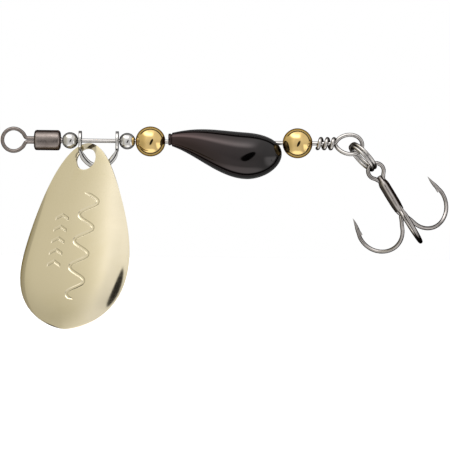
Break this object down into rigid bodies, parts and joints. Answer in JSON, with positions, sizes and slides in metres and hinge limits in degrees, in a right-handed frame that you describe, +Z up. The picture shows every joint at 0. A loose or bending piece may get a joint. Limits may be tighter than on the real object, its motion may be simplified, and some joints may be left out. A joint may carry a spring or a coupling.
{
  "type": "inline spinner",
  "caption": "Inline spinner lure: swivel, beads, clevis with a dished blade, balls and an off-centre body on a wire shaft, with a split ring and treble hook.",
  "frame": {"origin": "centre of the front ring that the line is tied to", "axes": "+X along the shaft from the front ring to the hook, +Z up with the blade hanging down, -Y out of the blade's polished face"},
  "size_m": [0.0677, 0.0133, 0.0304],
  "materials": {
    "gunmetal": "satin",
    "bright_wire": "polished",
    "nickel": "polished",
    "gold": "polished",
    "champagne": "polished",
    "black_nickel": "polished",
    "tinned": "satin"
  },
  "bodies": {
    "line_ring": {"line_ring": "gunmetal"},
    "swivel_barrel": {"swivel_barrel": "gunmetal"},
    "shaft": {"shaft_wire": "bright_wire"},
    "front_bead": {"front_bead": "nickel"},
    "clevis": {"clevis": "nickel"},
    "blade": {"blade": "champagne"},
    "rear_bead": {"rear_bead": "nickel"},
    "front_ball": {"front_ball": "gold"},
    "weight_body": {"weight_body": "black_nickel"},
    "rear_ball": {"rear_ball": "gold"},
    "split_ring": {"split_ring": "bright_wire"},
    "treble_hook": {"double_hook": "tinned", "third_hook": "tinned", "hook_braze": "tinned"}
  },
  "joints": [
    {"name": "ring_swivel", "type": "hinge", "parent": "line_ring", "child": "swivel_barrel", "pos_m": [0.00308, 0, 0], "axis": [1, 0, 0], "continuous": true},
    {"name": "shaft_swivel", "type": "hinge", "parent": "swivel_barrel", "child": "shaft", "pos_m": [0.00607, 0, 0], "axis": [1, 0, 0], "continuous": true},
    {"name": "front_bead_spin", "type": "hinge", "parent": "shaft", "child": "front_bead", "pos_m": [0.00847, 0, 0], "axis": [1, 0, 0], "continuous": true},
    {"name": "clevis_spin", "type": "hinge", "parent": "shaft", "child": "clevis", "pos_m": [0.01275, 0, 0], "axis": [1, 0, 0], "continuous": true},
    {"name": "blade_swing", "type": "hinge", "parent": "clevis", "child": "blade", "pos_m": [0.0109, 0.00036, -0.00277], "axis": [-0.478, -0.8244, 0.3032], "range_deg": [-70, 30]},
    {"name": "rear_bead_spin", "type": "hinge", "parent": "shaft", "child": "rear_bead", "pos_m": [0.01704, 0, 0], "axis": [1, 0, 0], "continuous": true},
    {"name": "front_ball_spin", "type": "hinge", "parent": "shaft", "child": "front_ball", "pos_m": [0.02052, 0, 0], "axis": [1, 0, 0], "continuous": true},
    {"name": "body_spin", "type": "hinge", "parent": "shaft", "child": "weight_body", "pos_m": [0.03172, 0, 0], "axis": [1, 0, 0], "continuous": true},
    {"name": "rear_ball_spin", "type": "hinge", "parent": "shaft", "child": "rear_ball", "pos_m": [0.04259, 0, 0], "axis": [1, 0, 0], "continuous": true},
    {"name": "split_ring_swing", "type": "hinge", "parent": "shaft", "child": "split_ring", "pos_m": [0.05058, 0, 0], "axis": [0, 1, 0], "range_deg": [-125, 35]},
    {"name": "hook_swing", "type": "hinge", "parent": "split_ring", "child": "treble_hook", "pos_m": [0.05439, 0, -0.00401], "axis": [0, 1, 0], "range_deg": [-90, 65]}
  ]
}
